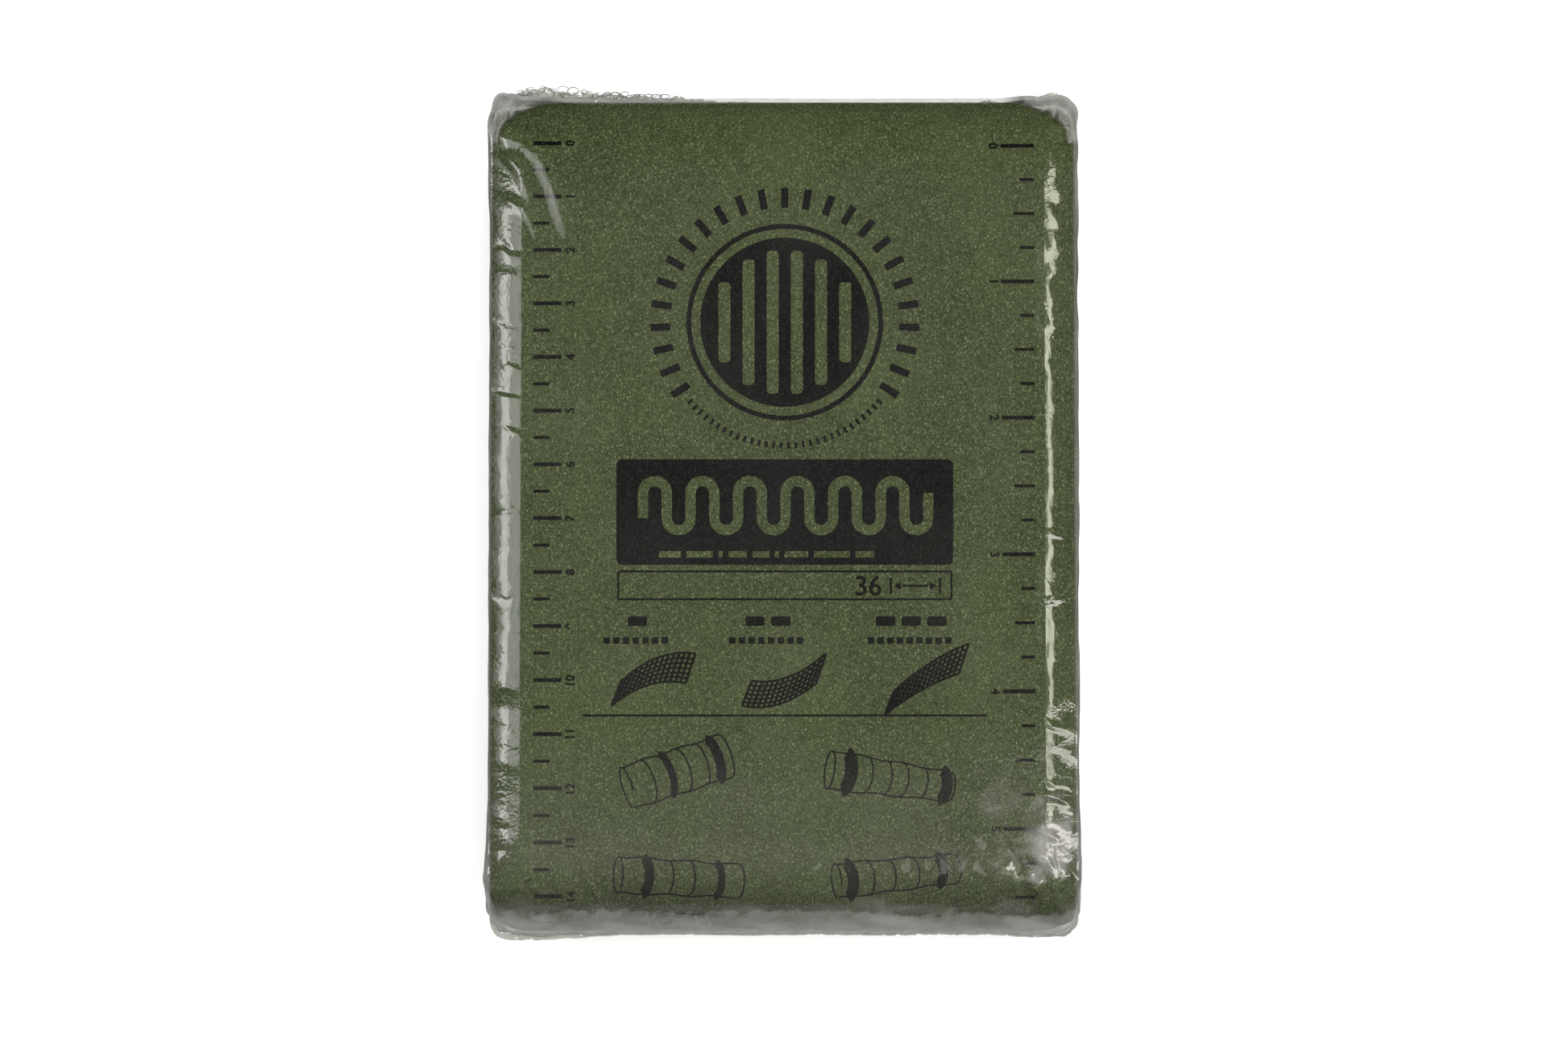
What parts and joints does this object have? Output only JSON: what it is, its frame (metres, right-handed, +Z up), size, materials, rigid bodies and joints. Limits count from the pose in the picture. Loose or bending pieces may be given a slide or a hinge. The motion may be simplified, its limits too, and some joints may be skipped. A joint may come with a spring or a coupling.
{
  "type": "aluminium foam splint folded flat, sealed in clear shrink film",
  "caption": "Padded bendable splint of soft aluminium between foam sheets, folded flat with printed rulers and sealed in clear shrink film.",
  "frame": {"origin": "under the middle of the bounding box, at the height the pack rests on", "axes": "+Z up out of the printed face, +Y along the length towards the free outer end, +X across towards the inch ruler"},
  "size_m": [0.1112, 0.1612, 0.0311],
  "materials": {
    "foam": "matte closed-cell foam, olive green",
    "core_metal": "plain rolled, soft temper",
    "clear_film": "clear glossy shrink film"
  },
  "bodies": {
    "root": {"foam_outer": "foam", "aluminium_core": "core_metal", "foam_inner": "foam", "shrink_film": "clear_film"}
  },
  "joints": []
}
